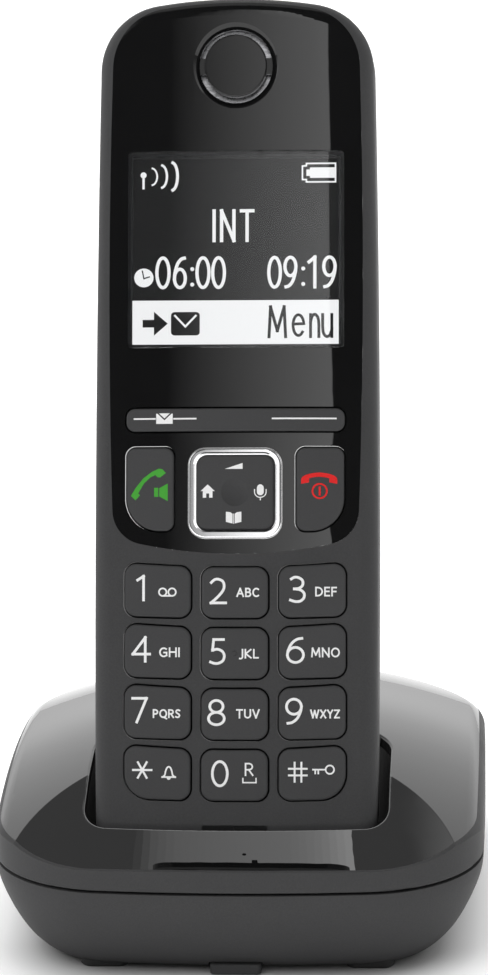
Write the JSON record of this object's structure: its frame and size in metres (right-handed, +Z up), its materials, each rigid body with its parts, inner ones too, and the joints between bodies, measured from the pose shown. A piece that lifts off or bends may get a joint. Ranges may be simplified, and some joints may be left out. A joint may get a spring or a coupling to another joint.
{
  "type": "cordless phone with base",
  "caption": "Cordless handset with keypad, display and glossy face panel, standing in a rounded table charging base with front apron and rear sockets.",
  "frame": {"origin": "on the table surface, under the middle of the base", "axes": "+Z up, +X to the right for someone facing the keypad, so the keypad and the base's apron face -Y and the sockets face +Y; the docked handset leans back 18 degrees"},
  "size_m": [0.085, 0.092, 0.1597],
  "materials": {
    "matte_body": "fine grained",
    "base_body": "fine grained",
    "gloss_black": "polished black",
    "cradle_black": "fine grained",
    "key_grey": "satin",
    "chrome_trim": "bright plated plastic",
    "display_glass": "clear, slightly tinted",
    "display_face": "smooth",
    "inner_plastic": "smooth",
    "board_green": "solder resist on glass-fibre laminate",
    "mat_rubber": "smooth",
    "foot_rubber": "dull",
    "spring_steel": "plain",
    "speaker_metal": "plain",
    "contact_gold": "gold plated",
    "cell_wrap": "heat-shrunk sleeve",
    "socket_plastic": "smooth"
  },
  "bodies": {
    "base": {"base_top_panel": "gloss_black", "base_upper_shell": "base_body", "cradle_insert": "cradle_black", "contact_carrier": "cradle_black", "base_circuit_board": "board_green", "base_components": "inner_plastic", "base_antenna": "spring_steel", "power_socket": "socket_plastic", "line_socket": "socket_plastic", "socket_contacts": "contact_gold", "base_lower_shell": "base_body", "paging_switch": "inner_plastic", "base_feet": "foot_rubber", "base_screws": "spring_steel"},
    "handset": {"handset_front_housing": "matte_body", "face_panel": "gloss_black", "display_window": "display_glass", "display_panel": "display_face", "display_frame": "inner_plastic", "earpiece_disc": "gloss_black", "earpiece_speaker": "speaker_metal", "nav_ring": "chrome_trim", "keypad_mat": "mat_rubber", "key_domes": "spring_steel", "handset_circuit_board": "board_green", "microphone": "inner_plastic", "handset_components": "inner_plastic", "handset_antenna": "spring_steel", "loudspeaker": "speaker_metal", "handset_rear_housing": "matte_body", "battery_cell_left": "cell_wrap", "battery_cell_right": "cell_wrap", "battery_contacts": "spring_steel", "handset_charge_contacts": "contact_gold", "handset_screws": "spring_steel"},
    "nav_key": {"nav_key": "key_grey"},
    "nav_pivot": {"nav_pivot": "inner_plastic"},
    "soft_key_bar": {"soft_key_bar": "key_grey"},
    "talk_key": {"talk_key": "key_grey"},
    "end_key": {"end_key": "key_grey"},
    "key_1": {"key_1": "key_grey"},
    "key_2": {"key_2": "key_grey"},
    "key_3": {"key_3": "key_grey"},
    "key_4": {"key_4": "key_grey"},
    "key_5": {"key_5": "key_grey"},
    "key_6": {"key_6": "key_grey"},
    "key_7": {"key_7": "key_grey"},
    "key_8": {"key_8": "key_grey"},
    "key_9": {"key_9": "key_grey"},
    "key_star": {"key_star": "key_grey"},
    "key_0": {"key_0": "key_grey"},
    "key_hash": {"key_hash": "key_grey"},
    "battery_cover": {"battery_cover": "matte_body"},
    "charge_pin_left": {"charge_pin_left": "contact_gold"},
    "charge_pin_right": {"charge_pin_right": "contact_gold"},
    "paging_key": {"paging_key": "key_grey"}
  },
  "joints": [
    {"name": "handset_lift", "type": "slide", "parent": "base", "child": "handset", "axis": [0, 0.309, 0.9511], "range_m": [0, 0.07]},
    {"name": "talk_key_press", "type": "slide", "parent": "handset", "child": "talk_key", "axis": [0, 0.9511, -0.309], "range_m": [0, 0.0005], "stiffness_N_per_m": 1500, "springref_m": -0.0005},
    {"name": "end_key_press", "type": "slide", "parent": "handset", "child": "end_key", "axis": [0, 0.9511, -0.309], "range_m": [0, 0.0005], "stiffness_N_per_m": 1500, "springref_m": -0.0005},
    {"name": "key_1_press", "type": "slide", "parent": "handset", "child": "key_1", "axis": [0, 0.9511, -0.309], "range_m": [0, 0.0005], "stiffness_N_per_m": 1500, "springref_m": -0.0005},
    {"name": "key_2_press", "type": "slide", "parent": "handset", "child": "key_2", "axis": [0, 0.9511, -0.309], "range_m": [0, 0.0005], "stiffness_N_per_m": 1500, "springref_m": -0.0005},
    {"name": "key_3_press", "type": "slide", "parent": "handset", "child": "key_3", "axis": [0, 0.9511, -0.309], "range_m": [0, 0.0005], "stiffness_N_per_m": 1500, "springref_m": -0.0005},
    {"name": "key_4_press", "type": "slide", "parent": "handset", "child": "key_4", "axis": [0, 0.9511, -0.309], "range_m": [0, 0.0005], "stiffness_N_per_m": 1500, "springref_m": -0.0005},
    {"name": "key_5_press", "type": "slide", "parent": "handset", "child": "key_5", "axis": [0, 0.9511, -0.309], "range_m": [0, 0.0005], "stiffness_N_per_m": 1500, "springref_m": -0.0005},
    {"name": "key_6_press", "type": "slide", "parent": "handset", "child": "key_6", "axis": [0, 0.9511, -0.309], "range_m": [0, 0.0005], "stiffness_N_per_m": 1500, "springref_m": -0.0005},
    {"name": "key_7_press", "type": "slide", "parent": "handset", "child": "key_7", "axis": [0, 0.9511, -0.309], "range_m": [0, 0.0005], "stiffness_N_per_m": 1500, "springref_m": -0.0005},
    {"name": "key_8_press", "type": "slide", "parent": "handset", "child": "key_8", "axis": [0, 0.9511, -0.309], "range_m": [0, 0.0005], "stiffness_N_per_m": 1500, "springref_m": -0.0005},
    {"name": "key_9_press", "type": "slide", "parent": "handset", "child": "key_9", "axis": [0, 0.9511, -0.309], "range_m": [0, 0.0005], "stiffness_N_per_m": 1500, "springref_m": -0.0005},
    {"name": "key_star_press", "type": "slide", "parent": "handset", "child": "key_star", "axis": [0, 0.9511, -0.309], "range_m": [0, 0.0005], "stiffness_N_per_m": 1500, "springref_m": -0.0005},
    {"name": "key_0_press", "type": "slide", "parent": "handset", "child": "key_0", "axis": [0, 0.9511, -0.309], "range_m": [0, 0.0005], "stiffness_N_per_m": 1500, "springref_m": -0.0005},
    {"name": "key_hash_press", "type": "slide", "parent": "handset", "child": "key_hash", "axis": [0, 0.9511, -0.309], "range_m": [0, 0.0005], "stiffness_N_per_m": 1500, "springref_m": -0.0005},
    {"name": "soft_key_rock", "type": "hinge", "parent": "handset", "child": "soft_key_bar", "pos_m": [0, -0.00846, 0.08958], "axis": [0, 0.309, 0.9511], "range_deg": [-1.6, 1.6], "stiffness_Nm_per_rad": 0.8},
    {"name": "nav_tilt_up_down", "type": "hinge", "parent": "handset", "child": "nav_pivot", "pos_m": [0, -0.01258, 0.07788], "axis": [1, 0, 0], "range_deg": [-1.6, 1.6], "stiffness_Nm_per_rad": 0.8},
    {"name": "nav_tilt_sideways", "type": "hinge", "parent": "nav_pivot", "child": "nav_key", "pos_m": [0, -0.01258, 0.07788], "axis": [0, 0.309, 0.9511], "range_deg": [-1.6, 1.6], "stiffness_Nm_per_rad": 0.8},
    {"name": "battery_cover_hinge", "type": "hinge", "parent": "handset", "child": "battery_cover", "pos_m": [0, -0.00475, 0.04106], "axis": [-1, 0, 0], "range_deg": [0, 30]},
    {"name": "charge_pin_left_press", "type": "slide", "parent": "base", "child": "charge_pin_left", "axis": [0, -0.309, -0.9511], "range_m": [0, 0.0008], "stiffness_N_per_m": 1600, "springref_m": -0.0006},
    {"name": "charge_pin_right_press", "type": "slide", "parent": "base", "child": "charge_pin_right", "axis": [0, -0.309, -0.9511], "range_m": [0, 0.0008], "stiffness_N_per_m": 1600, "springref_m": -0.0006},
    {"name": "paging_key_press", "type": "slide", "parent": "base", "child": "paging_key", "axis": [0, 1, 0], "range_m": [0, 0.0008], "stiffness_N_per_m": 900, "springref_m": -0.0006}
  ]
}
